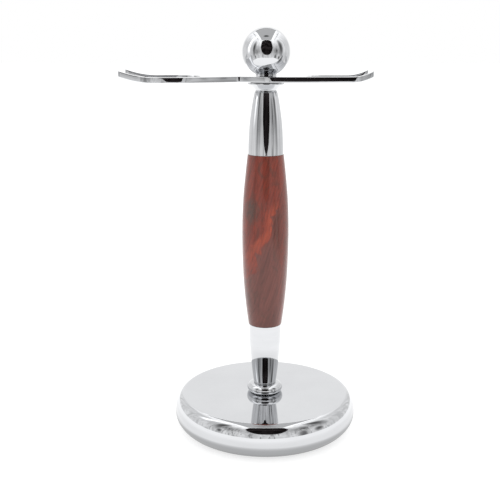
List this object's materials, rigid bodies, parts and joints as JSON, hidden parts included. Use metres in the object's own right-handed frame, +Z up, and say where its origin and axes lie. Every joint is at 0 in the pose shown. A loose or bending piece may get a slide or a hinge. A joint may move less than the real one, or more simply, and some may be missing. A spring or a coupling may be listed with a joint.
{
  "type": "razor stand",
  "caption": "Chromed table-top stand with a weighted round base, a wood-gripped column and a forked cradle plate that holds a razor and a brush under a ball finial.",
  "frame": {"origin": "centre of the foot pad's underside, on the column's axis, at the surface that the stand rests on", "axes": "+Z up the column to the ball finial; +X towards the razor fork, -X towards the brush fork; +Y towards the back"},
  "size_m": [0.0927, 0.072, 0.1571],
  "materials": {
    "chrome": "mirror-polished chrome plate",
    "rosewood": "red-brown figured wood under a gloss lacquer",
    "steel": "zinc-plated, lightly brushed",
    "brass": "bare machined",
    "ballast_iron": "as cast",
    "black_rubber": "matt"
  },
  "bodies": {
    "stand": {"foot_pad": "black_rubber", "base_shell": "chrome", "base_ballast": "ballast_iron", "tie_rod": "steel", "hex_nut": "steel", "lock_washer": "steel", "flat_washer": "steel", "base_collar": "chrome", "lower_ferrule": "chrome", "lower_gasket": "black_rubber", "wood_grip": "rosewood", "liner_tube": "brass", "upper_gasket": "black_rubber", "upper_ferrule": "chrome", "cradle_seat": "chrome", "seat_washer": "black_rubber"},
    "cradle": {"cradle_plate": "chrome"},
    "finial_foot": {"finial_washer": "chrome"},
    "finial": {"finial_insert": "brass", "ball_finial": "chrome"}
  },
  "joints": [
    {"name": "cradle_swivel", "type": "hinge", "parent": "stand", "child": "cradle", "pos_m": [0, 0, 0.1383], "axis": [0, 0, 1], "continuous": true},
    {"name": "finial_turn", "type": "hinge", "parent": "stand", "child": "finial_foot", "pos_m": [0, 0, 0.1396], "axis": [0, 0, 1], "range_deg": [0, 2880]},
    {"name": "finial_rise", "type": "slide", "parent": "finial_foot", "child": "finial", "axis": [0, 0, 1], "range_m": [0, 0.0064]}
  ],
  "couplings": [
    {"joint": "finial_turn", "follows": "finial_rise", "rad_per_m": 7854}
  ]
}
